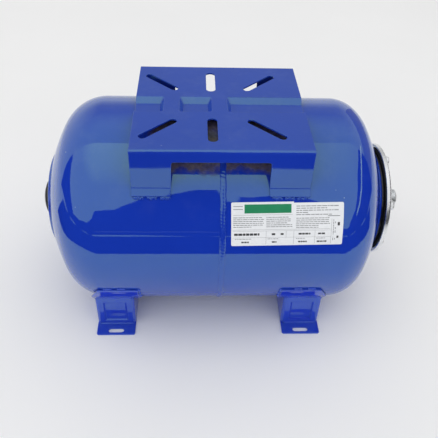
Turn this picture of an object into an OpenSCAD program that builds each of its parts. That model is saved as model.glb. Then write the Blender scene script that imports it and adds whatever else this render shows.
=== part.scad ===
// Horizontal steel pressure tank for a well pump: two pressed shell halves,
// a rubber bladder clamped behind a bolted counter flange, four pressed feet
// and a folded platform that carries the pump.
// Origin: on the floor, in the middle of the four foot slots.
// +Z is up, +X runs along the tank towards the water connection.

/* [Tank shell] */
// Outside diameter of the shell
shell_d = 284; // [280:1:286]
// Sheet thickness of the shell
wall = 1.5; // [1.2:0.1:2]
// Height of the tank's axis above the floor
axis_h = 152; // [150:0.5:156]
// Distance of the middle weld from the middle of the feet
seam_x = 13; // [8:0.5:18]
// Straight length from the weld to the knuckle, valve end
left_straight = 153; // [145:0.5:158]
// Straight length from the weld to the knuckle, flange end
right_straight = 152.5; // [148:0.5:156]
// Crown radius of the valve end
left_crown = 229; // [225:1:235]
// Knuckle radius of the valve end
left_knuckle = 60; // [52:1:64]
// Crown radius of the flange end
right_crown = 232; // [228:1:238]
// Knuckle radius of the flange end
right_knuckle = 47; // [44:1:52]
// Radius of the raised land on the valve end
land_r = 64; // [60:1:68]
// Height of the raised land
land_h = 2.5; // [1.5:0.5:3]

/* [Flange end] */
// Outside radius of the tapped ring in the shell
ring_r = 72; // [71:0.5:73]
// Inside radius of the tapped ring
ring_bore_r = 52; // [50:1:54]
// Front face of the tapped ring, from the middle weld
ring_face = 220.5; // [219.5:0.5:221.5]
// Thickness of the bladder's clamped lip
lip_t = 4; // [3:0.5:4.5]
// Outside radius of the counter flange
flange_r = 79; // [78:0.5:81]
// Sheet thickness of the counter flange
flange_t = 3.5; // [3:0.5:4]
// Pitch circle diameter of the flange bolts
bolt_pcd = 130; // [128:1:131]
// Number of flange bolts
bolt_n = 6; // [6:1:8]
// Outside diameter of the connection's thread
port_d = 26.4; // [26:0.1:27]
// Bore of the water connection
port_bore_d = 20; // [17:0.5:21]
// End of the water connection, from the middle weld
port_end = 258; // [250:1:266]

/* [Pump platform] */
// Length of the platform along the tank
plat_l = 215; // [205:1:225]
// Width of the platform across its skirts
plat_w = 212; // [208:1:216]
// Height of the platform's top above the tank's axis
plat_h = 151.5; // [149.5:0.5:155]
// Middle of the platform along X
plat_x = 10.5; // [5:0.5:15]
// Sheet thickness of the platform
plat_t = 2.5; // [2:0.5:3]
// Width of the straight slots
slot_w = 12; // [8:0.5:14]
// Length of the straight slots over their ends
slot_l = 52; // [40:1:56]
// Distance of each straight slot's middle from the middle
slot_y = 60; // [56:0.5:64]
// Width of the slanted slots
slant_w = 10; // [8:0.5:10.5]
// Depth of the pressed stiffening beads
bead_d = 6.2; // [3:0.2:6.4]

/* [Feet] */
// Distance between the left and right feet
foot_dx = 268; // [262:1:274]
// Distance between the front and rear foot slots
foot_dy = 246; // [244:1:248]
// Width of a foot
foot_w = 55; // [50:1:60]
// Sheet thickness of a foot
foot_t = 2.5; // [2:0.5:3]
// Width of the slot in a foot
foot_slot_w = 7; // [6:0.5:8]
// Length of the slot in a foot over its ends
foot_slot_l = 22; // [18:1:26]

/* [Hidden] */
$fn = 128;

blue = [0.09, 0.21, 0.66];
zinc = [0.80, 0.82, 0.84];
rubber = [0.05, 0.05, 0.05];
brass = [0.78, 0.62, 0.30];
black = [0.03, 0.03, 0.035];

R = shell_d / 2;
// centre height of each crown's sphere, from the middle weld
lx0 = left_straight - sqrt(pow(left_crown - left_knuckle, 2) - pow(R - left_knuckle, 2));
rx0 = right_straight - sqrt(pow(right_crown - right_knuckle, 2) - pow(R - right_knuckle, 2));
plate_top = axis_h + plat_h;
lip_face = ring_face + lip_t;
flange_face = lip_face + flange_t;
hub_face = flange_face + 3;
// valve pocket in the middle of the land
pocket_r = 20;
pocket_h = 224;
half_w = plat_w / 2;
// lower edge of the platform's skirts, on the shell
skirt_z = sqrt(pow(R + plat_t + 0.3, 2) - half_w * half_w);

function pol(r, a) = [r * cos(a), r * sin(a)];

// Places children's Z along the tank's axis, from the middle weld, +X side
module to_right() { translate([seam_x, 0, axis_h]) rotate([0, 90, 0]) children(); }
// The same towards the valve end
module to_left() { translate([seam_x, 0, axis_h]) rotate([0, -90, 0]) children(); }

// Half profile of a dished end, radius along x and height along y
module end_profile(r, straight, crown, knuckle, x0) {
    phi = atan2(r - knuckle, straight - x0);
    tx = crown * sin(phi);
    ty = x0 + crown * cos(phi);
    // straight part and the filling under the knuckle
    polygon([[0, 0], [r, 0], [r, straight], [r - knuckle, straight], [tx, ty], [0, ty]]);
    translate([r - knuckle, straight]) circle(r = knuckle);
    intersection() {
        translate([0, x0]) circle(r = crown);
        polygon([[0, x0], [2 * tx, x0 + 2 * (ty - x0)], [0, x0 + 2 * crown]]);
    }
}

module left_outer() {
    end_profile(R, left_straight, left_crown, left_knuckle, lx0);
    intersection() {
        translate([0, lx0]) circle(r = left_crown + land_h);
        polygon([[0, 100], [land_r + 2.5, 100], [land_r + 2.5, 222], [land_r, 228], [land_r, 260], [0, 260]]);
    }
}

module left_inner() {
    end_profile(R - wall, left_straight, left_crown - wall, left_knuckle - wall, lx0);
    intersection() {
        translate([0, lx0]) circle(r = left_crown + land_h - wall);
        polygon([[0, 100], [land_r + 1, 100], [land_r + 1, 220], [land_r - wall, 227], [land_r - wall, 260], [0, 260]]);
    }
}

module shell_left() {
    color(blue) to_left() difference() {
        rotate_extrude() intersection() {
            difference() {
                left_outer();
                difference() {
                    left_inner();
                    translate([-1, pocket_h - wall]) square([pocket_r + wall + 1, 60]);
                }
                translate([-1, pocket_h]) square([pocket_r + 1, 60]);
            }
            square([R + 1, 300]);
        }
        translate([0, 0, pocket_h - 10]) cylinder(r = 6.2, h = 20);
    }
}

module right_outer() { end_profile(R, right_straight, right_crown, right_knuckle, rx0); }

module shell_right() {
    color(blue) to_right() rotate_extrude() intersection() {
        difference() {
            right_outer();
            end_profile(R - wall, right_straight, right_crown - wall, right_knuckle - wall, rx0);
            translate([-1, 190]) square([ring_r + 1, 80]);
        }
        square([R + 1, 300]);
    }
}

// Raised bead that joins the two halves
module seam_weld() {
    color(blue) translate([seam_x, 0, axis_h]) rotate([0, 90, 0]) rotate_extrude()
        polygon([[R, -3.8], [R + 0.8, -3.1], [R + 1.5, -1.6], [R + 1.8, 0],
                 [R + 1.5, 1.6], [R + 0.8, 3.1], [R, 3.8]]);
}

module bolt_places(r) {
    for (i = [0 : bolt_n - 1]) rotate([0, 0, i * 360 / bolt_n]) translate([r, 0, 0]) children();
}

module flange_ring() {
    color(black) to_right() difference() {
        rotate_extrude() polygon([[ring_bore_r, 211], [ring_r, 211], [ring_r, ring_face - 0.8],
            [ring_r - 0.8, ring_face], [ring_bore_r, ring_face]]);
        bolt_places(bolt_pcd / 2) translate([0, 0, 205]) cylinder(r = 4.1, h = 30);
    }
}

// Height of the flange end's outer surface at radius r
function right_h(r) = rx0 + sqrt(right_crown * right_crown - r * r);

// Fillet between the shell and the ring, on the outside
module flange_weld() {
    color(blue) to_right() rotate_extrude() polygon([
        [ring_r + 0.02, right_h(ring_r) + 0.02], [ring_r + 1.4, right_h(ring_r + 1.4) + 0.03],
        [ring_r + 2.8, right_h(ring_r + 2.8) + 0.02], [ring_r + 2.4, right_h(ring_r) + 0.7],
        [ring_r + 1.4, right_h(ring_r) + 1.7], [ring_r + 0.02, right_h(ring_r) + 2.6]]);
}

module bag_outline(e) {
    translate([0, 20]) circle(r = 100 - e);
    translate([0, 20]) square([100 - e, 90]);
    translate([0, 110]) circle(r = 100 - e);
    translate([0, 150]) square([51.8 - e, 72]);
}

// Rubber bag that holds the water, with the lip that seals the flange
module bladder() {
    color(rubber) to_right() difference() {
        rotate_extrude() intersection() {
            difference() {
                union() {
                    difference() {
                        bag_outline(0);
                        translate([0, ring_face]) square([200, 60]);
                    }
                    translate([45, ring_face]) square([28.5, lip_t]);
                }
                bag_outline(2);
                translate([0, 190]) square([49.8, 60]);
            }
            translate([0, -120]) square([200, 400]);
        }
        bolt_places(bolt_pcd / 2) translate([0, 0, ring_face - 5]) cylinder(r = 4.5, h = 20);
    }
}

// Pressed plate with a turned-back rim and a raised middle
module counter_flange() {
    color(zinc) to_right() difference() {
        rotate_extrude() {
            polygon([[port_d / 2 + 0.1, hub_face - flange_t], [23, hub_face - flange_t], [27, lip_face],
                     [flange_r - 3, lip_face], [flange_r - 3, flange_face], [28.5, flange_face],
                     [24.5, hub_face], [port_d / 2 + 0.1, hub_face]]);
            translate([flange_r - 3, 221.2]) square([3, flange_face - 3 - 221.2]);
            intersection() {
                translate([flange_r - 3, flange_face - 3]) circle(r = 3);
                translate([flange_r - 3, flange_face - 3]) square([3, 3]);
            }
        }
        bolt_places(bolt_pcd / 2) translate([0, 0, lip_face - 5]) cylinder(r = 4.5, h = 20);
    }
}

// Hexagon flange bolts, screwed into the ring
module flange_bolts() {
    color(zinc) to_right() bolt_places(bolt_pcd / 2) {
        translate([0, 0, 212.5]) cylinder(r = 4, h = flange_face - 212.5 + 1);
        translate([0, 0, flange_face]) cylinder(r = 8.4, h = 1.4);
        translate([0, 0, flange_face + 1.4]) rotate([0, 0, 15]) intersection() {
            cylinder(r = 7.5, h = 5, $fn = 6);
            translate([0, 0, -2]) cylinder(r1 = 13.6, r2 = 6.6, h = 7);
        }
    }
}

module water_connection() {
    color(zinc) to_right() rotate_extrude() polygon([
        [port_bore_d / 2, hub_face - flange_t - 1.5], [port_d / 2, hub_face - flange_t - 1.5],
        [port_d / 2, hub_face + 5], [port_d / 2 - 1.2, hub_face + 6.2],
        [port_d / 2 - 1.2, hub_face + 8], [port_d / 2, hub_face + 9.2],
        [port_d / 2, port_end - 1.5], [port_d / 2 - 1.5, port_end],
        [port_bore_d / 2 + 0.5, port_end], [port_bore_d / 2, port_end - 0.5]]);
}

module connection_weld() {
    color(zinc) to_right() rotate_extrude() difference() {
        translate([port_d / 2, hub_face]) circle(r = 3);
        translate([0, 200]) square([60, hub_face - 200]);
        translate([-1, 200]) square([port_d / 2 + 1, 60]);
    }
}

// Section of the folded platform across the tank
module platform_section() {
    ro = 4;
    ri = ro - plat_t;
    difference() {
        union() {
            translate([-half_w, skirt_z]) square([plat_w, plat_h - ro - skirt_z]);
            translate([-half_w + ro, 100]) square([plat_w - 2 * ro, plat_h - 100]);
            for (s = [-1, 1]) translate([s * (half_w - ro), plat_h - ro]) circle(r = ro);
        }
        translate([-half_w + plat_t, 0]) square([plat_w - 2 * plat_t, plat_h - ro]);
        translate([-half_w + ro, 0]) square([plat_w - 2 * ro, plat_h - plat_t]);
        for (s = [-1, 1]) translate([s * (half_w - ro), plat_h - ro]) circle(r = ri);
    }
    // feet of the skirts, turned out along the shell
    for (s = [0, 1]) mirror([s, 0]) {
        a0 = acos(-(half_w - plat_t) / (R + 0.3));
        polygon([pol(R + 0.3, a0), [-half_w + plat_t, skirt_z + 2], [-half_w, skirt_z + 2],
                 [-half_w, skirt_z], pol(R + plat_t + 0.2, a0 + 4.4), pol(R + 0.3, a0 + 4.6)]);
    }
}

// One pressed bead with a flat bottom, over the open length x0 to x1
module bead(x0, x1, w, drop) {
    hull() {
        for (x = [x0 + 3, x1 - 3]) for (s = [-1, 1])
            translate([x, s * (w / 2 - 3), plate_top - drop]) cylinder(r = 3, h = 1, $fn = 24);
        for (x = [x0 + 7, x1 - 7]) for (s = [-1, 1])
            translate([x, s * (w / 2 - 10), plate_top - drop - bead_d]) cylinder(r = 2, h = 1, $fn = 16);
    }
}

module slanted_slot(sx, sy) {
    dx = 34.6;
    dy = 34.1;
    translate([sx * 48.2, sy * 41.2, plate_top - 20]) rotate([0, 0, atan2(sy * dy, sx * dx)]) {
        cylinder(d = slant_w, h = 30);
        translate([norm([dx, dy]), 0, 0]) cylinder(d = slant_w, h = 30);
        translate([0, -slant_w / 2, 0]) cube([norm([dx, dy]), slant_w, 30]);
    }
}

module straight_slot(s) {
    translate([0, s * slot_y, plate_top - 20]) {
        for (k = [-1, 1]) translate([0, k * (slot_l - slot_w) / 2, 0]) cylinder(d = slot_w, h = 30);
        translate([-slot_w / 2, -(slot_l - slot_w) / 2, 0]) cube([slot_w, slot_l - slot_w, 30]);
    }
}

// Opening in a skirt that leaves a strip of the given height under the top
module skirt_opening(strip, m) {
    translate([0, 0, axis_h]) mirror([0, m, 0]) rotate([90, 0, 0]) linear_extrude(height = half_w + 20) {
        polygon([[-48.5 + 3, plat_h - strip], [68 - 3, plat_h - strip], [68, plat_h - strip - 3],
                 [69.5, 60], [-51, 60], [-48.5, plat_h - strip - 3]]);
        translate([-48.5 + 3, plat_h - strip - 3]) circle(r = 3);
        translate([68 - 3, plat_h - strip - 3]) circle(r = 3);
    }
}

x_left = plat_x - plat_l / 2;
x_right = plat_x + plat_l / 2;

module pump_platform() {
    color(blue) difference() {
        union() {
            translate([x_left, 0, axis_h]) rotate([90, 0, 90]) linear_extrude(height = plat_l) platform_section();
            intersection() {
                union() {
                    bead(x_left - 20, -60, 39, plat_t - 0.2);
                    bead(-42, 1.5, 39, plat_t - 0.2);
                    bead(19.5, x_right + 20, 39, plat_t - 0.2);
                }
                translate([x_left, -30, plate_top - 12]) cube([plat_l, 60, 12 - plat_t + 0.5]);
            }
        }
        bead(x_left - 20, -60.5, 37, 0);
        bead(-41, 0.5, 37, 0);
        bead(20, x_right + 20, 37, 0);
        for (sx = [-1, 1]) for (sy = [-1, 1]) slanted_slot(sx, sy);
        for (s = [-1, 1]) straight_slot(s);
        // opening in the middle of the front skirt, and a taller one in the rear skirt
        skirt_opening(16, 0);
        skirt_opening(8, 1);
    }
}

// Beads at the foot of each skirt
module platform_welds() {
    a = acos(-(half_w - plat_t) / (R + 0.3)) + 4.65;
    color(blue) for (s = [0, 1]) mirror([0, s, 0])
        for (x = [-94, -78, -62, 73, 88, 103])
            translate([x, 0, axis_h]) rotate([90, 0, 90]) linear_extrude(height = 11) intersection() {
                difference() { circle(r = R + 2.2); circle(r = R); }
                polygon([[0, 0], pol(300, a), pol(300, a + 1.2)]);
            }
}

// Tapered pressing: w1 by h1 at the face, w2 by h2 at depth d, along +Y
module pressing(w1, h1, w2, h2, d) {
    intersection() {
        translate([0, 0, -h1]) linear_extrude(height = 2 * h1)
            polygon([[-w1 / 2, 0], [w1 / 2, 0], [w2 / 2, d], [-w2 / 2, d]]);
        translate([-w1, 0, 0]) rotate([90, 0, 90]) linear_extrude(height = 2 * w1)
            polygon([[0, -h1 / 2], [0, h1 / 2], [d, h2 / 2], [d, -h2 / 2]]);
    }
}

web_y = 109.5;
// inner end of a foot's flange, from the foot's middle
tab_x = 38;

module rounded_box(w, y0, y1, r, h) {
    for (s = [-1, 1]) translate([s * (w / 2 - r), y0 + r, 0]) cylinder(r = r, h = h);
    translate([-w / 2 + r, y0, 0]) cube([w - 2 * r, r + 1, h]);
    translate([-w / 2, y0 + r, 0]) cube([w, y1 - y0 - r, h]);
}

// One foot at the front left, its middle at x = 0, inner side towards +X
module foot() {
    rf = R + 0.15 + foot_t;
    ang_top = 201;
    difference() {
        union() {
            // front web and the two side walls behind it
            difference() {
                rounded_box(foot_w, -web_y, -55, 5, axis_h - 60);
                translate([0, 0, -1]) rounded_box(foot_w - 2 * foot_t, -web_y + foot_t, -50, 5 - foot_t, axis_h);
                // the walls follow the shell
                translate([-foot_w, 0, axis_h]) rotate([0, 90, 0]) cylinder(r = R + 0.15, h = 2 * foot_w);
                // web ends at the flange
                translate([-foot_w, -200, axis_h - sqrt(rf * rf - web_y * web_y)]) cube([2 * foot_w, 200, 200]);
                // rear lower corner of the walls
                translate([-foot_w, -55, 0]) rotate([45, 0, 0]) cube([2 * foot_w, 12, 12], center = true);
            }
            // flange on the shell, longer towards the tank's middle
            difference() {
                translate([-foot_w / 2, 0, axis_h]) rotate([90, 0, 90]) linear_extrude(height = foot_w / 2 + tab_x) intersection() {
                    difference() { circle(r = rf); circle(r = R + 0.15); }
                    polygon([[0, 0], pol(300, ang_top),
                             pol(300, 180 + atan2(sqrt(rf * rf - web_y * web_y), web_y)),
                             [-web_y + foot_t, -sqrt(pow(R + 0.15, 2) - pow(web_y - foot_t, 2)) - 1.2]]);
                }
                // outer upper corner cut at a slant
                translate([-foot_w / 2, -R - 20, axis_h]) rotate([90, 0, 0]) mirror([0, 0, 1])
                    linear_extrude(height = 60) polygon([[-6, -88], [-6, -20], [22, -20], [13, -50]]);
            }
            // filling between flange and web at the fold
            translate([-foot_w / 2, 0, axis_h]) rotate([90, 0, 90]) linear_extrude(height = foot_w) difference() {
                polygon([[-web_y, -sqrt(rf * rf - web_y * web_y) - 1], [-web_y, -sqrt(rf * rf - web_y * web_y) + 0.2],
                         [-web_y + foot_t, -sqrt(pow(R, 2) - pow(web_y - foot_t, 2)) + 2],
                         [-web_y + foot_t, -sqrt(rf * rf - web_y * web_y) - 1]]);
                circle(r = R + 0.15);
            }
            // toe on the floor
            translate([0, 0, 0]) difference() {
                union() {
                    translate([-foot_w / 2, -127, 0]) cube([foot_w, 127 - web_y + foot_t, foot_t]);
                    translate([-foot_w / 2 + 3, -130, 0]) cube([foot_w - 6, 4, foot_t]);
                    for (s = [-1, 1]) translate([s * (foot_w / 2 - 3), -127, 0]) cylinder(r = 3, h = foot_t);
                }
            }
            // fold between toe and web
            translate([-foot_w / 2 + 5, -web_y, foot_t]) rotate([90, 0, 90]) linear_extrude(height = foot_w - 10)
                difference() { translate([-2, 0]) square([2.5, 2]); translate([-2, 2]) circle(r = 2); }
            // back of the pressed panel
            translate([0, -web_y + foot_t, 27.5]) pressing(36, 42, 32, 38, 2);
        }
        // pressed panel in the web
        translate([0, -web_y - 0.01, 27.5]) pressing(33, 39, 29, 35, 2);
        // slot in the toe
        for (s = [-1, 1]) translate([s * (foot_slot_l - foot_slot_w) / 2, -foot_dy / 2, -1]) cylinder(d = foot_slot_w, h = 10);
        translate([-(foot_slot_l - foot_slot_w) / 2, -foot_dy / 2 - foot_slot_w / 2, -1])
            cube([foot_slot_l - foot_slot_w, foot_slot_w, 10]);
    }
}

module foot_front_left() { color(blue) translate([-foot_dx / 2, 0, 0]) foot(); }
module foot_front_right() { color(blue) translate([foot_dx / 2, 0, 0]) mirror([1, 0, 0]) foot(); }
module foot_rear_left() { color(blue) translate([-foot_dx / 2, 0, 0]) mirror([0, 1, 0]) foot(); }
module foot_rear_right() { color(blue) translate([foot_dx / 2, 0, 0]) mirror([0, 1, 0]) mirror([1, 0, 0]) foot(); }

// Short beads along the inner side and the upper edge of each foot's flange
module foot_welds() {
    rf = R + 0.15 + foot_t;
    color(blue) for (m = [0, 1]) mirror([0, m, 0]) for (fx = [0, 1]) {
        // inner side
        for (a = [203, 208.5, 214]) translate([(fx * 2 - 1) * foot_dx / 2 - (fx > 0 ? tab_x + 2.2 : -tab_x), 0, axis_h])
            rotate([90, 0, 90]) linear_extrude(height = 2.2) intersection() {
                difference() { circle(r = R + 2); circle(r = R); }
                polygon([[0, 0], pol(300, a - 1.8), pol(300, a + 1.8)]);
            }
        // upper edge
        for (x = [-2, 16]) translate([(fx * 2 - 1) * foot_dx / 2 + (fx > 0 ? -x - 5 : x - 5), 0, axis_h])
            rotate([90, 0, 90]) linear_extrude(height = 10) intersection() {
                difference() { circle(r = R + 2); circle(r = R); }
                polygon([[0, 0], pol(300, 199.9), pol(300, 201)]);
            }
    }
}

// Air valve in the pocket of the land
module valve_stem() {
    color(brass) to_left() rotate_extrude() polygon([
        [2.6, 215], [9.5, 215], [9.5, 218], [6, 218], [6, 231], [3.9, 233], [3.9, 240.2], [3.4, 240.7], [2.6, 240.7]]);
}

module valve_seal() {
    color(rubber) to_left() rotate_extrude() translate([6.2, 218]) square([4, pocket_h - wall - 218]);
}

module valve_nut() {
    color(brass) to_left() difference() {
        translate([0, 0, pocket_h]) cylinder(r = 9.8, h = 5, $fn = 6);
        translate([0, 0, pocket_h - 1]) cylinder(r = 6.1, h = 8);
    }
}

module valve_core() {
    color(brass) to_left() {
        translate([0, 0, 229]) cylinder(r = 2.5, h = 3);
        translate([0, 0, 236.5]) cylinder(r = 2.5, h = 2.5);
        translate([0, 0, 224]) cylinder(r = 0.7, h = 16);
        translate([0, 0, 217]) cylinder(r = 2.2, h = 1.5);
        translate([0, 0, 218]) cylinder(r = 0.7, h = 7);
    }
}

module dust_cap() {
    color(rubber) to_left() difference() {
        union() {
            translate([0, 0, 234]) cylinder(r = 5.2, h = 7.6);
            translate([0, 0, 241.6]) cylinder(r1 = 5.2, r2 = 4.4, h = 0.8);
        }
        translate([0, 0, 233]) cylinder(r = 4, h = 8);
    }
}

// Round cover pressed into the pocket
module valve_cover() {
    cap_base = 236;
    cap_top = 246.5;
    rise = cap_top - cap_base - 4.5;
    rc = (24.5 * 24.5 + rise * rise) / (2 * rise);
    color(rubber) to_left() rotate_extrude() intersection() {
        difference() {
            union() {
                translate([0, cap_base]) square([24.5, 4.5]);
                intersection() {
                    translate([0, cap_top - rc]) circle(r = rc);
                    translate([0, cap_base + 4.49]) square([24.5, 20]);
                }
                translate([0, 231]) square([19.7, 6]);
            }
            translate([0, 230]) square([17.7, 11]);
            intersection() {
                translate([0, cap_top - rc - 2]) circle(r = rc);
                translate([0, 240]) square([17.7, 20]);
            }
        }
        translate([0, 200]) square([60, 60]);
    }
}

// Printed sticker on the front of the shell, set a little askew
module rating_label() {
    a = 154.6;
    color("white") intersection() {
        translate([seam_x + 4, 0, axis_h]) rotate([0, 90, 0]) difference() {
            cylinder(r = R + 0.25, h = 150);
            translate([0, 0, -1]) cylinder(r = R + 0.02, h = 152);
        }
        translate([seam_x + 78.5, 0, axis_h]) rotate([a - 180, 0, 0]) rotate([90, -1.1, 0])
            translate([0, 0, 60]) linear_extrude(height = 120) {
                translate([-68.5, -27.3]) square([137, 53.8]);
                translate([-68.5, -27.3]) square([76, 55.2]);
            }
    }
}

shell_left();
shell_right();
seam_weld();
flange_ring();
flange_weld();
bladder();
counter_flange();
flange_bolts();
water_connection();
connection_weld();
pump_platform();
platform_welds();
foot_front_left();
foot_front_right();
foot_rear_left();
foot_rear_right();
foot_welds();
valve_stem();
valve_seal();
valve_nut();
valve_core();
dust_cap();
valve_cover();
rating_label();
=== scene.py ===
import math
import random

import bmesh
import bpy
from mathutils import Matrix, Vector, noise
from mathutils.bvhtree import BVHTree
from mathutils.geometry import delaunay_2d_cdt


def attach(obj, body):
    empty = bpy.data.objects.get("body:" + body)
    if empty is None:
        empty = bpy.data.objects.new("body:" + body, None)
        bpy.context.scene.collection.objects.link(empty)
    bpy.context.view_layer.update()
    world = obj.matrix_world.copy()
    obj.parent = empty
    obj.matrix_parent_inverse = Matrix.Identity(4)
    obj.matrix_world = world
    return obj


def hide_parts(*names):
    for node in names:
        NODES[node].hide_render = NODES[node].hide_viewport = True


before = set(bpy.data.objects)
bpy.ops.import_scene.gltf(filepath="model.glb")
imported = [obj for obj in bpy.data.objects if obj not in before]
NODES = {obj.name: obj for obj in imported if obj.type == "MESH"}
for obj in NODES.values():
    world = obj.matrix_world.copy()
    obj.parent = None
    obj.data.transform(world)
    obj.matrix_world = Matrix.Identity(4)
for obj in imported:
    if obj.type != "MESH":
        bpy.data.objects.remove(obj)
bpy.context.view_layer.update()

MM = 0.001
R, SX, A = 142.0, 13.0, 152.0       # shell radius, middle weld, axis height
D = math.radians


# ------------------------------------------------------------------ materials
def material(name):
    m = bpy.data.materials.new(name)
    m.use_nodes = True
    return m, m.node_tree, m.node_tree.nodes["Principled BSDF"]


def node(nt, kind, inputs=None, **settings):
    n = nt.nodes.new(kind)
    for k, v in settings.items():
        setattr(n, k, v)
    for k, v in (inputs or {}).items():
        n.inputs[k].default_value = v
    return n


def ramp(nt, fac, stops):
    n = nt.nodes.new("ShaderNodeValToRGB")
    el = n.color_ramp.elements
    while len(el) < len(stops):
        el.new(0.5)
    for e, (p, c) in zip(el, stops):
        e.position = p
        e.color = (*c, 1.0)
    nt.links.new(fac, n.inputs["Fac"])
    return n.outputs["Color"]


def noise_tex(nt, vec, scale, detail=3.0, rough=0.5):
    n = node(nt, "ShaderNodeTexNoise", {"Scale": scale, "Detail": detail, "Roughness": rough})
    nt.links.new(vec, n.inputs["Vector"])
    return n.outputs["Fac"]


def mix_color(nt, fac, a, b):
    n = nt.nodes.new("ShaderNodeMix")
    n.data_type = "RGBA"
    for sock, v in (("Factor", fac), ("A", a), ("B", b)):
        i = [s for s in n.inputs if s.name == sock and s.enabled][0]
        if isinstance(v, bpy.types.NodeSocket):
            nt.links.new(v, i)
        else:
            i.default_value = (*v, 1.0) if isinstance(v, tuple) else v
    return [s for s in n.outputs if s.enabled][0]


def math_node(nt, op, a, b=None, clamp=False):
    n = nt.nodes.new("ShaderNodeMath")
    n.operation = op
    n.use_clamp = clamp
    for i, v in enumerate((a, b)):
        if v is None:
            continue
        if isinstance(v, bpy.types.NodeSocket):
            nt.links.new(v, n.inputs[i])
        else:
            n.inputs[i].default_value = v
    return n.outputs[0]


def map_range(nt, v, a, b, c, d):
    n = node(nt, "ShaderNodeMapRange", {"From Min": a, "From Max": b, "To Min": c, "To Max": d})
    nt.links.new(v, n.inputs["Value"])
    return n.outputs["Result"]


def bump(nt, height, distance, below=None):
    n = node(nt, "ShaderNodeBump", {"Strength": 1.0, "Distance": distance})
    nt.links.new(height, n.inputs["Height"])
    if below is not None:
        nt.links.new(below, n.inputs["Normal"])
    return n.outputs["Normal"]


def coords(nt):
    return nt.nodes.new("ShaderNodeTexCoord").outputs["Object"]


def paint(name, lo, hi, waves=0.00009, peel=0.0000035, dust=1.0, shade_under_platform=False):
    m, nt, b = material(name)
    p = coords(nt)
    base = ramp(nt, noise_tex(nt, p, 11.0, 4.0), [(0.3, lo), (0.7, hi)])
    # a few settled specks on what faces up
    v = node(nt, "ShaderNodeTexVoronoi", {"Scale": 95.0, "Randomness": 1.0})
    nt.links.new(p, v.inputs["Vector"])
    dots = map_range(nt, v.outputs["Distance"], 0.05, 0.085, 1.0, 0.0)
    keep = math_node(nt, "GREATER_THAN", noise_tex(nt, p, 23.0, 2.0), 0.66)
    geo = nt.nodes.new("ShaderNodeNewGeometry")
    sep = nt.nodes.new("ShaderNodeSeparateXYZ")
    nt.links.new(geo.outputs["Normal"], sep.inputs[0])
    up = map_range(nt, sep.outputs["Z"], 0.35, 0.75, 0.0, 1.0)
    speck = math_node(nt, "MULTIPLY", math_node(nt, "MULTIPLY", dots, keep), up)
    speck = math_node(nt, "MULTIPLY", speck, 0.55 * dust, clamp=True)
    film = math_node(nt, "MULTIPLY", map_range(nt, noise_tex(nt, p, 38.0, 6.0, 0.65), 0.5, 0.8, 0.0, 0.05), up)
    base = mix_color(nt, film, base, (0.35, 0.42, 0.52))
    base = mix_color(nt, speck, base, (0.62, 0.68, 0.78))
    rough = map_range(nt, noise_tex(nt, p, 60.0, 5.0), 0.3, 0.7, 0.028, 0.042)
    if shade_under_platform:
        # painted shade: the shell's top under the platform, where the platform shades it, is darkened to a dark
        # brownish, low-gloss patch
        at = nt.nodes.new("ShaderNodeSeparateXYZ")
        nt.links.new(p, at.inputs[0])
        edge = map_range(nt, noise_tex(nt, p, 55.0, 4.0), 0.3, 0.7, -0.005, 0.005)
        y = math_node(nt, "ADD", math_node(nt, "ABSOLUTE", at.outputs["Y"]), edge)
        x = math_node(nt, "ADD", math_node(nt, "ABSOLUTE", math_node(nt, "SUBTRACT", at.outputs["X"], 0.0125)), edge)
        k = math_node(nt, "MULTIPLY", map_range(nt, y, 0.084, 0.092, 1.0, 0.0), map_range(nt, x, 0.082, 0.092, 1.0, 0.0))
        k = math_node(nt, "MULTIPLY", k, math_node(nt, "GREATER_THAN", at.outputs["Z"], 0.2))
        k = math_node(nt, "MULTIPLY", k, map_range(nt, noise_tex(nt, p, 90.0, 6.0, 0.7), 0.35, 0.65, 0.7, 1.0), clamp=True)
        # dark brownish tones of the painted shade under the platform
        spots = ramp(nt, noise_tex(nt, p, 140.0, 6.0, 0.7), [(0.35, (0.060, 0.040, 0.034)), (0.65, (0.17, 0.14, 0.13))])
        base = mix_color(nt, k, base, spots)
        rough = math_node(nt, "ADD", rough, math_node(nt, "MULTIPLY", k, 0.45))
        shine = math_node(nt, "SUBTRACT", 1.0, math_node(nt, "MULTIPLY", k, 0.9))
    nt.links.new(base, b.inputs["Base Color"])
    nt.links.new(rough, b.inputs["Roughness"])
    b.inputs["IOR"].default_value = 1.6
    b.inputs["Specular IOR Level"].default_value = 1.0
    if shade_under_platform:
        nt.links.new(shine, b.inputs["Specular IOR Level"])
    b.inputs["Specular Tint"].default_value = (0.55, 1.0, 0.30, 1.0)
    n1 = bump(nt, noise_tex(nt, p, 17.0, 2.0), waves)
    n2 = bump(nt, noise_tex(nt, p, 620.0, 2.0), peel, n1)
    nt.links.new(n2, b.inputs["Normal"])
    return m


def metal(name, lo, hi, r0, r1, grain=120.0, depth=0.000006, spots=None):
    m, nt, b = material(name)
    p = coords(nt)
    c = ramp(nt, noise_tex(nt, p, 26.0, 6.0, 0.6), [(0.32, lo), (0.68, hi)])
    if spots:
        k = map_range(nt, noise_tex(nt, p, 75.0, 5.0, 0.7), 0.60, 0.74, 0.0, 0.6)
        c = mix_color(nt, k, c, spots)
    nt.links.new(c, b.inputs["Base Color"])
    b.inputs["Metallic"].default_value = 1.0
    nt.links.new(map_range(nt, noise_tex(nt, p, grain, 6.0, 0.7), 0.25, 0.75, r0, r1), b.inputs["Roughness"])
    nt.links.new(bump(nt, noise_tex(nt, p, grain * 4, 3.0), depth), b.inputs["Normal"])
    return m


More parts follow.
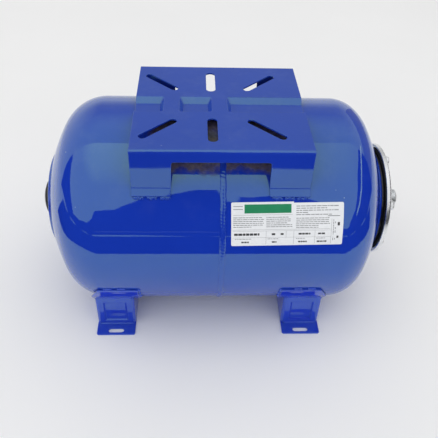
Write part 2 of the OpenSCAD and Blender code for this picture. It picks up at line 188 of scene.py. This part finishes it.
def dull(name, lo, hi, r0, r1, scale=400.0, depth=0.00001):
    m, nt, b = material(name)
    p = coords(nt)
    nt.links.new(ramp(nt, noise_tex(nt, p, 40.0, 5.0, 0.6), [(0.3, lo), (0.7, hi)]), b.inputs["Base Color"])
    nt.links.new(map_range(nt, noise_tex(nt, p, 90.0, 4.0), 0.3, 0.7, r0, r1), b.inputs["Roughness"])
    nt.links.new(bump(nt, noise_tex(nt, p, scale, 4.0, 0.6), depth), b.inputs["Normal"])
    return m


BLUE = paint("paint_shell", (0.0080, 0.038, 0.45), (0.0090, 0.043, 0.48))
# shell paint with painted shade on its top under the platform
BLUE_SHADED_TOP = paint("paint_shell_shaded_top", (0.0080, 0.038, 0.45), (0.0090, 0.043, 0.48), shade_under_platform=True)
BLUE_P = paint("paint_platform", (0.009, 0.038, 0.43), (0.011, 0.044, 0.47), waves=0.00004, dust=0.5)
# painted light: the feet get a brighter copy of the tank's blue paint, to make up for the shade under the tank
BLUE_FEET_BRIGHTENED = paint("paint_feet_brightened", (0.016, 0.040, 0.56), (0.022, 0.050, 0.62), waves=0.00003, dust=0.6)
ZINC = metal("zinc", (0.78, 0.80, 0.82), (0.92, 0.93, 0.94), 0.20, 0.36, spots=(0.60, 0.60, 0.58))
BRASS = metal("brass", (0.62, 0.44, 0.17), (0.76, 0.57, 0.26), 0.22, 0.36)
RUBBER = dull("rubber", (0.010, 0.010, 0.011), (0.020, 0.020, 0.021), 0.55, 0.75)
PLASTIC = dull("cap_plastic", (0.004, 0.004, 0.005), (0.008, 0.008, 0.009), 0.30, 0.42, 900.0, 0.000006)
BLACK = dull("gloss_black", (0.005, 0.005, 0.006), (0.009, 0.009, 0.010), 0.10, 0.16, 500.0, 0.000002)
STICKER = dull("sticker", (0.86, 0.885, 0.92), (0.91, 0.93, 0.96), 0.22, 0.32, 150.0, 0.000004)
INK = dull("ink", (0.030, 0.031, 0.034), (0.055, 0.056, 0.060), 0.30, 0.40)
INK_GREY = dull("ink_grey", (0.20, 0.21, 0.23), (0.26, 0.27, 0.29), 0.30, 0.40)
INK_GREEN = dull("ink_green", (0.010, 0.24, 0.10), (0.014, 0.29, 0.125), 0.28, 0.38)


# ----------------------------------------------------------------- mesh tools
def finish_piece(o, mat, replaces=(), angle=35.0, weighted=False):
    me = o.data
    if me.attributes.get("custom_normal"):
        me.attributes.remove(me.attributes["custom_normal"])
    for poly in me.polygons:
        poly.use_smooth = True
    me.set_sharp_from_angle(angle=D(angle))
    if mat is not None:
        me.materials.clear()
        me.materials.append(mat)
    if o.name not in bpy.context.scene.objects:
        bpy.context.scene.collection.objects.link(o)
    if weighted:
        w = o.modifiers.new("weighted", "WEIGHTED_NORMAL")
        w.keep_sharp = True
        w.weight = 90
    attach(o, "root")
    if replaces:
        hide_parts(*replaces)
    return o


def piece(name, verts, faces, mat, slot, replaces=(), angle=35.0, weld=0.0, weighted=False):
    me = bpy.data.meshes.new(name)
    me.from_pydata([tuple(c * MM for c in v) for v in verts], [], faces)
    bm = bmesh.new()
    bm.from_mesh(me)
    if weld:
        bmesh.ops.remove_doubles(bm, verts=bm.verts, dist=weld * MM)
    bmesh.ops.recalc_face_normals(bm, faces=bm.faces)
    bm.to_mesh(me)
    bm.free()
    return finish_piece(bpy.data.objects.new(name, me), mat, replaces, angle, weighted)


def revolved(loop, n, side, wobble=None, closed=True):
    """A closed (radius, height) loop turned about the tank's axis; side +1 runs to the flange end."""
    verts, faces, ring = [], [], []
    for i, (r, h) in enumerate(loop):
        if r < 1e-6:
            ring.append([len(verts)] * n)
            verts.append((SX + side * h, 0.0, A))
            continue
        ring.append(list(range(len(verts), len(verts) + n)))
        for k in range(n):
            t = 2 * math.pi * k / n
            rr, hh = wobble(i, t, r, h) if wobble else (r, h)
            verts.append((SX + side * hh, rr * math.sin(t), A + rr * math.cos(t)))
    last = len(loop) if closed else len(loop) - 1
    for i in range(last):
        a, b = ring[i], ring[(i + 1) % len(loop)]
        for k in range(n):
            q = (a[k], a[(k + 1) % n], b[(k + 1) % n], b[k])
            f = []
            for v in q:
                if v not in f:
                    f.append(v)
            if len(f) >= 3:
                faces.append(f)
    return verts, faces


def arc(cx, cy, r, a0, a1, n):
    return [(cx + r * math.cos(D(a0 + (a1 - a0) * i / n)), cy + r * math.sin(D(a0 + (a1 - a0) * i / n)))
            for i in range(n + 1)]


def crown_outline(r, straight, crown, knuckle, r_end, n_knuckle=26, n_crown=34):
    x0 = straight - math.sqrt((crown - knuckle) ** 2 - (r - knuckle) ** 2)
    phi = math.atan2(r - knuckle, straight - x0)
    out = [(r, 0.0), (r, 40.0), (r, 80.0), (r, 120.0)]
    out += arc(r - knuckle, straight, knuckle, 0.0, 90.0 - math.degrees(phi), n_knuckle)
    end = math.asin(r_end / crown)
    for i in range(1, n_crown + 1):
        t = phi + (end - phi) * i / n_crown
        out.append((crown * math.sin(t), x0 + crown * math.cos(t)))
    return out, x0


def refined(node_name, mat, width, segments=3, angle=28.0, sharp=50.0):
    """The CAD node's own surface with its edges rounded, in the same place."""
    me = NODES[node_name].data.copy()
    me.name = node_name + "_surface"
    bm = bmesh.new()
    bm.from_mesh(me)
    bmesh.ops.remove_doubles(bm, verts=bm.verts, dist=2e-5)
    tree = BVHTree.FromBMesh(bm)
    bmesh.ops.dissolve_limit(bm, angle_limit=D(0.8), verts=bm.verts, edges=bm.edges)
    edges = [e for e in bm.edges if e.is_manifold and e.calc_face_angle(0.0) > D(angle)]
    bmesh.ops.bevel(bm, geom=edges, offset=width * MM, offset_type="OFFSET", segments=segments,
                    profile=0.5, affect="EDGES", clamp_overlap=False, loop_slide=True)
    # a corner that the bevel pushed off the surface goes back onto it
    for v in bm.verts:
        hit, _, _, far = tree.find_nearest(v.co)
        if hit is not None and far > 0.75 * width * MM:
            v.co = hit
    bmesh.ops.remove_doubles(bm, verts=bm.verts, dist=1e-6)
    bm.to_mesh(me)
    bm.free()
    o = bpy.data.objects.new(node_name + "_surface", me)
    return finish_piece(o, mat, (node_name,), sharp, weighted=True)


def lumps(name, places, mat, replaces):
    """Weld beads as rows of overlapping flattened drops: (position, outward, along, size)."""
    rng = random.Random(11)
    bm = bmesh.new()
    for pos, out, along, size in places:
        s = size * rng.uniform(0.88, 1.0)
        side = out.cross(along).normalized()
        basis = Matrix((along * s * rng.uniform(0.8, 1.0), side * s * rng.uniform(0.9, 1.15), out * s * 0.8)).transposed()
        ret = bmesh.ops.create_icosphere(bm, subdivisions=3, radius=1.0)
        for v in ret["verts"]:
            w = 1.0 + 0.10 * noise.noise(v.co * 1.7 + pos * 0.31)
            v.co = (pos + basis @ (v.co * w)) * MM
    me = bpy.data.meshes.new(name)
    bm.to_mesh(me)
    bm.free()
    return finish_piece(bpy.data.objects.new(name, me), mat, replaces, 80.0)


# --------------------------------------------------------------- shell halves
outer, lx0 = crown_outline(R, 153.0, 229.0, 60.0, 67.6)


def left_h(r, extra=0.0):
    return lx0 + math.sqrt((229.0 + extra) ** 2 - r * r)


outer += [(66.8, left_h(66.8) + 0.10), (66.2, left_h(66.2) + 0.35), (65.6, left_h(65.6) + 0.85),
          (65.1, left_h(65.1) + 1.45), (64.5, left_h(64.5) + 1.95), (63.8, left_h(63.8) + 2.28), (62.8, left_h(62.8, 2.5) - 0.04)]
for i in range(1, 17):
    r = 62.0 + (21.0 - 62.0) * i / 16
    outer.append((r, left_h(r, 2.5)))
outer += [(20.3, left_h(20.3, 2.5) - 0.3), (20.0, left_h(20.0, 2.5) - 1.0), (20.0, 224.0), (6.2, 224.0), (6.2, 222.5), (21.5, 222.5)]
inner, _ = crown_outline(R - 1.5, 153.0, 227.5, 58.5, 65.6, 14, 16)
inner = inner + [(64.4, left_h(64.4) - 0.3), (62.5, left_h(62.5, 1.0)), (42.0, left_h(42.0, 1.0)), (21.5, left_h(21.5, 1.0))]
piece("shell_left_surface", *revolved(outer + inner[::-1], 256, -1), BLUE_SHADED_TOP, "blue_paint", ("shell_left",), 40.0)

outer, _ = crown_outline(R, 152.5, 232.0, 47.0, 72.0)
inner, _ = crown_outline(R - 1.5, 152.5, 230.5, 45.5, 72.0, 14, 16)
piece("shell_right_surface", *revolved(outer + inner[::-1], 256, 1), BLUE_SHADED_TOP, "blue_paint", ("shell_right",), 40.0)
rx0 = 152.5 - math.sqrt(185.0 ** 2 - 95.0 ** 2)


def right_h(r):
    return rx0 + math.sqrt(232.0 ** 2 - r * r)


def seam_shape(i, t, r, h):
    k = r - R
    if k < 0.05:
        return r, h * (1.0 + 0.16 * noise.noise(Vector((math.cos(t) * 21, math.sin(t) * 21, h))))
    wave = 0.5 + 0.5 * math.cos(t * 205 + 0.5 * h + 2.2 * noise.noise(Vector((math.cos(t) * 6, math.sin(t) * 6, 1.0))))
    slow = noise.noise(Vector((math.cos(t) * 9, math.sin(t) * 9, 4.0)))
    return R + min(1.76, k * (0.80 + 0.16 * wave + 0.22 * slow)), h + 0.45 * slow


seam = [(R, -3.8), (R + 0.55, -3.35), (R + 1.05, -2.6), (R + 1.45, -1.6), (R + 1.70, 0.0),
        (R + 1.45, 1.6), (R + 1.05, 2.6), (R + 0.55, 3.35), (R, 3.8)]
piece("seam_weld_bead", *revolved(seam, 1440, 1, seam_shape), BLUE, "blue_paint", ("seam_weld",), 60.0)

# ---------------------------------------------------------------- flange end
ring = [(52.0, 211.0), (72.0, 211.0), (72.0, 219.5), (71.9, 219.95), (71.6, 220.3), (71.1, 220.5), (52.6, 220.5), (52.0, 220.0)]
# the flange ring is drawn in glossy black
piece("flange_ring_surface", *revolved(ring, 192, 1), BLACK, "black_paint", ("flange_ring",))


def fillet_shape(i, t, r, h):
    k = noise.noise(Vector((math.cos(t) * 14, math.sin(t) * 14, 2.0)))
    w = 0.5 + 0.5 * math.cos(t * 130)
    return (r, h) if i in (0, 1, 2) else (r + 0.25 * k * (r > 72.1), h + 0.18 * k - 0.22 * w)


fillet = [(72.02, right_h(72.0) + 0.02), (73.4, right_h(73.4) + 0.03), (74.8, right_h(74.8) + 0.02),
          (74.4, right_h(72.0) + 0.7), (73.4, right_h(72.0) + 1.7), (72.02, right_h(72.0) + 2.6)]
piece("flange_weld_bead", *revolved(fillet, 720, 1, fillet_shape), BLUE, "blue_paint", ("flange_weld",), 60.0)

flange = [(13.3, 227.5), (23.0, 227.5), (27.0, 224.5), (76.0, 224.5), (76.0, 221.6), (76.3, 221.2), (78.6, 221.2), (79.0, 221.6)]
flange += arc(76.0, 225.0, 3.0, 0.0, 90.0, 10)
flange += [(29.6, 228.0), (29.0, 228.1), (28.2, 228.5), (25.2, 230.6), (24.6, 230.9), (23.8, 231.0), (13.6, 231.0), (13.3, 230.7)]
piece("counter_flange_surface", *revolved(flange, 224, 1), ZINC, "zinc_plate", ("counter_flange",))

verts, faces = [], []
FL = 228.0
for b_i in range(6):
    ang = D(60 * b_i)
    spin = D((0, 17, -11, 8, 25, -19)[b_i])
    levels = [(4.0, -15.0, 0), (4.0, 0.02, 0), (8.0, 0.02, 0), (8.4, 0.35, 0), (8.4, 1.0, 0), (8.0, 1.4, 0), (7.6, 1.45, 0),
              (9.0, 1.5, 1), (9.0, 4.2, 1), (7.35, 4.75, 1), (6.9, 5.35, 1), (6.3, 6.3, 2), (5.9, 6.38, 2), (4.6, 6.15, 2), (0.0, 6.1, 2)]
    # local z of the tank's axis: radius direction turned like the CAD's pattern
    n = 72
    base = len(verts)
    for r, h, kind in levels:
        for k in range(n):
            t = 2 * math.pi * k / n
            rr = r
            if kind == 1:
                u = (math.degrees(t - spin) % 60.0) - 30.0
                rr = min(r, 6.5 / math.cos(D(u)))
            x, y = rr * math.cos(t), rr * math.sin(t)
            # local frame of the flange end: local X -> -Z, local Y -> +Y
            lx, ly = 65.0 * math.cos(ang) + x, 65.0 * math.sin(ang) + y
            verts.append((SX + FL + h, ly, A - lx))
    for i in range(len(levels) - 1):
        for k in range(n):
            a0, a1 = base + i * n + k, base + i * n + (k + 1) % n
            faces.append((a0, a1, a1 + n, a0 + n))
    faces.append([base + k for k in range(n)])
piece("flange_bolts_surface", verts, faces, ZINC, "zinc_plate", ("flange_bolts",), 32.0, weld=0.001)

# water connection with its pipe thread
pitch, depth = 1.814, 1.18
n = 120
verts, faces = [], []
levels = [("c", 13.2, 226.0), ("c", 13.2, 236.0), ("c", 12.02, 237.2)]
h = 238.6
while h < 257.2:
    levels.append(("t", 0.0, h))
    h += pitch / 10
levels += [("c", 11.98, 257.6), ("c", 11.7, 258.0), ("c", 10.4, 258.0), ("c", 10.0, 257.6), ("c", 10.0, 226.0)]
for kind, r, h in levels:
    for k in range(n):
        t = 2 * math.pi * k / n
        rr = r
        if kind == "t":
            f = (h / pitch - k / n) % 1.0
            tri = 1.0 - abs(2.0 * f - 1.0)
            tri = min(1.0, max(0.0, (tri - 0.08) / 0.84))
            fade = min(1.0, (h - 238.4) / 1.8, (258.0 - h) / 1.6)
            rr = 12.02 + max(0.0, fade) * tri * depth * 0.998
        verts.append((SX + h, rr * math.sin(t), A + rr * math.cos(t)))
m = len(levels)
for i in range(m):
    for k in range(n):
        a0, a1 = i * n + k, i * n + (k + 1) % n
        b0, b1 = ((i + 1) % m) * n + k, ((i + 1) % m) * n + (k + 1) % n
        faces.append((a0, a1, b1, b0))
piece("water_connection_surface", verts, faces, ZINC, "zinc_plate", ("water_connection",), 55.0)


def conn_shape(i, t, r, h):
    w = 0.5 + 0.5 * math.cos(t * 48 + noise.noise(Vector((math.cos(t) * 4, math.sin(t) * 4, 0))) * 3)
    return (r, h) if i in (0, 4) else (13.2 + (r - 13.2) * (0.86 + 0.13 * w), 231.0 + (h - 231.0) * (0.86 + 0.13 * w))


conn = [(16.2, 231.0), (15.8, 232.3), (15.0, 233.2), (14.0, 233.8), (13.2, 234.0), (13.2, 231.0)]
piece("connection_weld_bead", *revolved(conn, 480, 1, conn_shape), ZINC, "zinc_plate", ("connection_weld",), 60.0)

# ------------------------------------------------------------------ valve end
cap_r = (24.5 ** 2 + 6.0 ** 2) / (2 * 6.0)
cap = [(0.0, 244.5), (6.0, 244.3), (12.0, 243.1), (17.7, 241.0), (17.7, 231.4), (18.0, 231.0), (19.4, 231.0), (19.7, 231.4),
       (19.7, 236.0), (23.8, 236.0), (24.3, 236.2), (24.5, 236.7), (24.5, 239.8), (24.35, 240.25)]
for i in range(1, 15):
    r = 24.1 * (1 - (i - 0.7) / 13.3)
    cap.append((max(r, 0.0), 246.5 - cap_r + math.sqrt(cap_r ** 2 - r * r)))
verts, faces = revolved(cap, 128, -1, closed=False)
piece("valve_cover_surface", verts, faces, PLASTIC, "cap_plastic", ("valve_cover",), 45.0, weld=0.001)

# ------------------------------------------------------- platform and feet
refined("pump_platform", BLUE_P, 0.55)
for name in ("foot_front_left", "foot_front_right", "foot_rear_left", "foot_rear_right"):
    refined(name, BLUE_FEET_BRIGHTENED, 0.6)

places = []
tab = math.degrees(math.acos(-(106.0 - 2.5) / (R + 0.3))) + 5.0
for s in (-1, 1):
    for x0 in (-94, -78, -62, 73, 88, 103):
        for k in range(6):
            a = D(tab + 0.25 * math.sin(k * 1.9 + x0))
            out = Vector((0.0, -s * math.cos(a) * -1.0, math.sin(a)))
            out = Vector((0.0, s * math.cos(a), math.sin(a)))
            pos = Vector((x0 + 0.6 + k * 1.95, out.y * (R + 0.35), A + out.z * (R + 0.35)))
            places.append((pos, out, Vector((1, 0, 0)), 2.15))
lumps("platform_weld_beads", places, BLUE_P, ("platform_welds",))

places = []
for s in (-1, 1):
    for fx in (-1, 1):
        for a in (203.0, 208.5, 214.0):
            for k in range(5):
                t = D(a - 1.5 + 3.0 * k / 4)
                out = Vector((0.0, -s * math.cos(t), math.sin(t)))
                x = fx * 134.0 - fx * (38.0 + 1.0)
                along = Vector((0.0, s * math.sin(t), math.cos(t)))
                places.append((Vector((x, out.y * (R + 0.3), A + out.z * (R + 0.3))), out, along, 2.0))
        for x in (-2, 16):
            for k in range(5):
                t = D(200.3 + 0.2 * math.sin(k * 2.3))
                out = Vector((0.0, -s * math.cos(t), math.sin(t)))
                places.append((Vector((fx * 134.0 - fx * (x + 1.0 + 2.0 * k - 5.0), out.y * (R + 0.3), A + out.z * (R + 0.3))),
                               out, Vector((1, 0, 0)), 2.0))
lumps("foot_weld_beads", places, BLUE_FEET_BRIGHTENED, ("foot_welds",))


# ---------------------------------------------------------------------- label
TILT = D(1.1)


def on_label(u, v, off):
    uu = u * math.cos(TILT) - v * math.sin(TILT)
    vv = u * math.sin(TILT) + v * math.cos(TILT)
    e = D(25.4) + math.asin(vv / R)
    return (SX + 78.5 + uu, -(R + off) * math.cos(e), A + (R + off) * math.sin(e))


def label_sheet():
    outline = []

    def corner(cx, cy, r, a0, a1):
        for p in arc(cx, cy, r, a0, a1, 6):
            outline.append(p)

    corner(-66.7, -25.5, 1.8, 270, 180)
    corner(-66.7, 26.1, 1.8, 180, 90)
    outline.extend([(7.5, 27.9), (7.5, 26.5)])
    corner(66.7, 24.7, 1.8, 90, 0)
    corner(66.7, -25.5, 1.8, 360, 270)
    pts = []
    for i, p in enumerate(outline):
        q = outline[(i + 1) % len(outline)]
        k = max(1, int(math.hypot(q[0] - p[0], q[1] - p[1]) / 2.0))
        pts += [Vector((p[0] + (q[0] - p[0]) * j / k, p[1] + (q[1] - p[1]) * j / k)) for j in range(k)]
    edges = [(i, (i + 1) % len(pts)) for i in range(len(pts))]
    for i in range(-16, 17):
        for j in range(-12, 13):
            pts.append(Vector((i * 4.0, j * 2.1)))
    vs, _, fs, _, _, _ = delaunay_2d_cdt(pts, edges, [], 1, 1e-4)
    verts = [on_label(v.x, v.y, 0.24) for v in vs]
    faces = [list(f) for f in fs]
    k = len(verts)
    verts += [on_label(v.x, v.y, 0.03) for v in vs]
    faces += [[i + k for i in f[::-1]] for f in fs]
    return verts, faces


verts, faces = label_sheet()
piece("rating_label_sheet", verts, faces, STICKER, "sticker", ("rating_label",), 40.0)

ink = {"dark": ([], []), "grey": ([], []), "green": ([], [])}


def bar(kind, u0, v0, u1, v1):
    verts, faces = ink[kind]
    nu = max(1, int(abs(u1 - u0) / 6.0))
    nv = max(1, int(abs(v1 - v0) / 2.0))
    base = len(verts)
    for j in range(nv + 1):
        for i in range(nu + 1):
            verts.append(on_label(u0 + (u1 - u0) * i / nu, v0 + (v1 - v0) * j / nv, 0.248))
    for j in range(nv):
        for i in range(nu):
            a = base + j * (nu + 1) + i
            faces.append((a, a + 1, a + nu + 2, a + nu + 1))


rng = random.Random(5)


def line_of_bars(kind, u0, u1, v, height, short, long, gap):
    u = u0
    while u < u1 - short:
        w = min(rng.uniform(short, long), u1 - u)
        bar(kind, u, v - height / 2, u + w, v + height / 2)
        u += w + gap


# a plain green band and rows of plain bars on the sheet
bar("green", -52.5, 14.4, 4.5, 25.2)
bar("grey", -66.0, 19.0, -54.5, 19.7)
bar("grey", -66.0, 22.6, -54.5, 23.3)
for k, end in enumerate((62.0, 50.0, 62.0, 26.0, 54.0)):
    line_of_bars("grey", 10.5, end, 22.4 - 2.6 * k, 0.95, 2.0, 6.5, 0.8)
bar("grey", 49.0, 9.6, 64.0, 10.5)
for k in range(6):
    line_of_bars("grey", -66.0, -29.0 if k < 5 else -44.0, 9.2 - 2.35 * k, 0.85, 1.6, 5.5, 0.7)
    line_of_bars("grey", -26.0, 6.0 if k % 3 else 1.0, 9.2 - 2.35 * k, 0.85, 1.6, 5.5, 0.7)
for k in range(6):
    line_of_bars("grey", 10.5, 52.0 if k < 4 else 38.0, 7.6 - 2.35 * k, 0.85, 1.6, 5.5, 0.7)
bar("grey", -66.0, 12.2, 6.0, 12.5)
bar("grey", -66.8, -6.3, 53.0, -6.0)
bar("grey", -66.8, -8.0, 54.0, -7.75)
bar("grey", -66.8, -16.6, 54.0, -16.35)
for u, v0, v1 in ((-26.0, -25.5, -7.8), (-1.5, -16.4, -7.8), (8.0, -25.5, -7.8), (34.0, -25.5, -7.8), (54.0, -25.5, 6.5)):
    bar("grey", u, v0, u + 0.3, v1)
for u0, u1, h in ((-65.0, -33.0, 2.9), (-19.0, -13.5, 2.5), (-8.0, -3.5, 2.5), (14.0, 28.5, 2.3), (38.0, 48.0, 2.1)):
    line_of_bars("dark", u0, u1, -12.2, h, 1.6, 5.0, 0.7)
for u0, u1 in ((-64.0, -44.0), (-24.0, -10.0), (11.0, 24.0), (36.0, 47.0)):
    line_of_bars("grey", u0, u1, -18.3, 0.75, 1.6, 5.0, 0.7)
for u0, u1 in ((-56.0, -46.5), (-18.5, -12.0), (14.0, 26.0), (37.0, 49.0)):
    line_of_bars("dark", u0, u1, -22.6, 2.0, 1.4, 4.0, 0.6)
v = 5.5
while v > -22.0:
    w = rng.uniform(1.6, 4.5)
    bar("grey", 56.2, v - w, 57.0, v)
    if int(v) % 2 == 0:
        bar("grey", 58.4, v - w * 0.7, 59.2, v)
    v -= w + 0.8
bar("dark", 61.5, -2.2, 64.2, 2.0)
bar("dark", 61.0, -18.5, 63.4, -15.6)
for kind, mat in (("dark", INK), ("grey", INK_GREY), ("green", INK_GREEN)):
    me = bpy.data.meshes.new("label_print_" + kind)
    me.from_pydata([tuple(c * MM for c in v) for v in ink[kind][0]], [], ink[kind][1])
    finish_piece(bpy.data.objects.new("label_print_" + kind, me), mat, (), 60.0)

# ---------------------------------------------- materials on the other CAD nodes
for name, mat in {"bladder": RUBBER, "valve_seal": RUBBER, "dust_cap": PLASTIC, "valve_stem": BRASS,
                  "valve_nut": BRASS, "valve_core": BRASS}.items():
    data = NODES[name].data
    data.materials.clear()
    data.materials.append(mat)


# ----------------------------------------------------------------------- stage
def emission(name, color, strength, pattern=None):
    m = bpy.data.materials.new(name)
    m.use_nodes = True
    nt = m.node_tree
    nt.nodes.clear()
    out = nt.nodes.new("ShaderNodeOutputMaterial")
    e = node(nt, "ShaderNodeEmission", {"Color": (*color, 1.0), "Strength": strength})
    nt.links.new(e.outputs[0], out.inputs["Surface"])
    if pattern:
        pattern(nt, e)
    return m


CENTRE = Vector((0.013, 0.0, 0.152))


def on_sphere(az, el, radius):
    a, e = D(az), D(el)
    return CENTRE + radius * Vector((math.sin(a) * math.cos(e), -math.cos(a) * math.cos(e), math.sin(e)))


def sky_patch(name, outline, radius, mat, step=4.0):
    """Part of a sphere round the tank, from (azimuth, elevation) corners; azimuth 0 is in front."""
    pts = [Vector(((90 - el) * math.sin(D(az)), -(90 - el) * math.cos(D(az)))) for az, el in outline]
    dense = []
    for i, p in enumerate(pts):
        q = pts[(i + 1) % len(pts)]
        k = max(1, int((q - p).length / 3.0))
        dense += [p.lerp(q, j / k) for j in range(k)]
    edges = [(i, (i + 1) % len(dense)) for i in range(len(dense))]
    grid = int(110 / step)
    for i in range(-grid, grid + 1):
        for j in range(-grid, grid + 1):
            dense.append(Vector((i * step + 0.37, j * step + 0.21)))
    vs, _, fs, _, _, _ = delaunay_2d_cdt(dense, edges, [], 1, 1e-4)
    verts = []
    for p in vs:
        rho = p.length
        verts.append(tuple(on_sphere(math.degrees(math.atan2(p.x, -p.y)), 90 - rho, radius)))
    me = bpy.data.meshes.new(name)
    me.from_pydata(verts, [], [list(f) for f in fs])
    me.materials.append(mat)
    o = bpy.data.objects.new(name, me)
    bpy.context.scene.collection.objects.link(o)
    o.visible_camera = False
    o.visible_shadow = False
    return o


def glow_pattern(nt, e):
    p = coords(nt)
    sep = nt.nodes.new("ShaderNodeSeparateXYZ")
    nt.links.new(p, sep.inputs[0])
    hot = map_range(nt, sep.outputs["Z"], 1.9, 2.5, 0.0, 1.0)
    left = map_range(nt, sep.outputs["X"], 0.9, -0.8, 0.25, 1.0)
    k = math_node(nt, "MULTIPLY", hot, left)
    s = math_node(nt, "ADD", math_node(nt, "MULTIPLY", k, 0.62), 0.93)
    nt.links.new(s, e.inputs["Strength"])


lamp = emission("lamp_main", (1.0, 1.0, 1.0), 1.1, glow_pattern)
black = emission("card_black", (1.0, 1.0, 1.0), 0.008)
grey = emission("card_grey", (1.0, 1.0, 1.0), 0.30)
streak = emission("lamp_streak", (1.0, 0.90, 1.0), 2.2)
faint = emission("lamp_faint", (1.0, 0.8, 1.0), 0.3)

sky_patch("softbox_main", [
    (-125, 79), (-109, 69), (-103, 52), (-103, 33), (-95, 25), (-82, 17), (-72, 11), (-63, 4), (-49, 5), (-33, 8),
    (-27, 11), (-21, 15), (-17, 22), (-12, 25), (-11, 29), (-9.5, 34), (-9, 39), (-5, 41), (-1, 46), (3, 46), (4, 34),
    (5.5, 33), (6.3, 39), (8, 38), (12, 40), (16, 38), (19, 26), (18, 5), (22, 6), (26, 11), (34, 16), (40, 19), (48, 26),
    (57, 34), (66, 41), (88, 43), (105, 40), (110, 60), (117, 71), (120, 73)], 2.35, lamp)
dark = sky_patch("flag_front", [
    (-104, -4), (-103, 28), (-80, 26), (-60, 24), (-40, 26), (-20, 42), (0, 62), (14, 62), (30, 50), (50, 48), (66, 55),
    (88, 55), (103, 45), (104, 14), (100, -4), (75, -4), (50, -4), (25, -4), (0, -4), (-25, -4), (-50, -4), (-75, -4)], 2.42, black)
dark.visible_diffuse = False
side = sky_patch("flag_right", [(100, -4), (100, 22), (125, 26), (150, 22), (150, -4), (125, -4)], 2.44, grey)
side.visible_diffuse = False


def dim_pattern(nt, e):
    # darkest straight behind at mid height, as bright as the rest at its border
    p = coords(nt)
    sep = nt.nodes.new("ShaderNodeSeparateXYZ")
    nt.links.new(p, sep.inputs[0])
    up = math_node(nt, "ABSOLUTE", math_node(nt, "SUBTRACT", sep.outputs["Z"], 1.38))
    across = math_node(nt, "ABSOLUTE", sep.outputs["X"])
    k = math_node(nt, "MULTIPLY", map_range(nt, up, 0.25, 0.85, 1.0, 0.0), map_range(nt, across, 0.7, 1.7, 1.0, 0.0), clamp=True)
    nt.links.new(math_node(nt, "SUBTRACT", 0.80, math_node(nt, "MULTIPLY", k, 0.40)), e.inputs["Strength"])


rear = sky_patch("sky_rear", [(128, 8), (128, 62), (150, 62), (180, 62), (210, 62), (232, 62), (232, 8), (210, 8), (180, 8), (150, 8)],
                 2.46, emission("sky_dim", (1.0, 1.0, 1.0), 0.8, dim_pattern))
rear.visible_diffuse = False
s1 = sky_patch("lamp_strip_right", [(110, 30), (98, 33), (80, 31), (67, 24), (55, 17), (44, 12), (43, 14), (54, 19.5), (66, 27), (80, 34), (98, 36), (111, 32)], 2.33, streak, 2.0)
s1.visible_diffuse = False
s2 = sky_patch("lamp_line_front", [(-16, 1.0), (-16, 1.7), (-6, 1.8), (3, 1.8), (3, 1.1), (-6, 1.0)], 2.33, faint, 2.0)
s2.visible_diffuse = False


def flat(name, corners, z, mat):
    me = bpy.data.meshes.new(name)
    me.from_pydata([(x, y, z) for x, y in corners], [], [list(range(len(corners)))])
    me.materials.append(mat)
    o = bpy.data.objects.new(name, me)
    bpy.context.scene.collection.objects.link(o)
    return o


floor_mat, nt, b = material("floor_pale")
p = coords(nt)
nt.links.new(ramp(nt, noise_tex(nt, p, 3.0, 3.0), [(0.3, (0.955, 0.955, 0.955)), (0.7, (0.975, 0.975, 0.975))]), b.inputs["Base Color"])
b.inputs["Roughness"].default_value = 0.85
b.inputs["Specular IOR Level"].default_value = 0.2
flat("floor", [(-9, -9), (9, -9), (9, 9), (-9, 9)], 0.0, floor_mat)
card = flat("flag_floor", [(-2.4, 0.10), (-0.56, 0.10), (-0.56, -0.30), (-0.47, -0.45), (-0.36, -0.49), (0.45, -0.49),
                           (0.62, -0.36), (0.70, -0.10), (2.4, -0.10), (2.4, -2.4), (-2.4, -2.4)], 0.001, black)
card.visible_camera = card.visible_diffuse = card.visible_shadow = card.visible_transmission = False

world = bpy.data.worlds.new("studio")
bpy.context.scene.world = world
world.use_nodes = True
bg = world.node_tree.nodes["Background"]
bg.inputs["Color"].default_value = (1.0, 1.0, 1.0, 1.0)
bg.inputs["Strength"].default_value = 0.80

# ---------------------------------------------------------------------- camera
yaw, pitch, roll = 0.0598, 0.7169, 0.0414
fwd = Vector((math.sin(yaw) * math.cos(pitch), math.cos(yaw) * math.cos(pitch), -math.sin(pitch)))
right = Vector((math.cos(yaw), -math.sin(yaw), 0.0))
up = right.cross(fwd)
r2 = right * math.cos(roll) + up * math.sin(roll)
u2 = -right * math.sin(roll) + up * math.cos(roll)
cam_data = bpy.data.cameras.new("camera")
cam = bpy.data.objects.new("camera", cam_data)
bpy.context.scene.collection.objects.link(cam)
rot = Matrix((r2, u2, -fwd)).transposed()
cam.matrix_world = Matrix.Translation(Vector((-0.02268, -0.63837, 0.66682))) @ rot.to_4x4()
cam_data.sensor_width = 36.0
cam_data.lens = 46.478
cam_data.clip_start, cam_data.clip_end = 0.01, 60.0
bpy.context.scene.camera = cam

sc = bpy.context.scene
sc.view_settings.view_transform = "Standard"
sc.view_settings.look = "None"
sc.view_settings.exposure = 0.0
sc.cycles.use_denoising = True
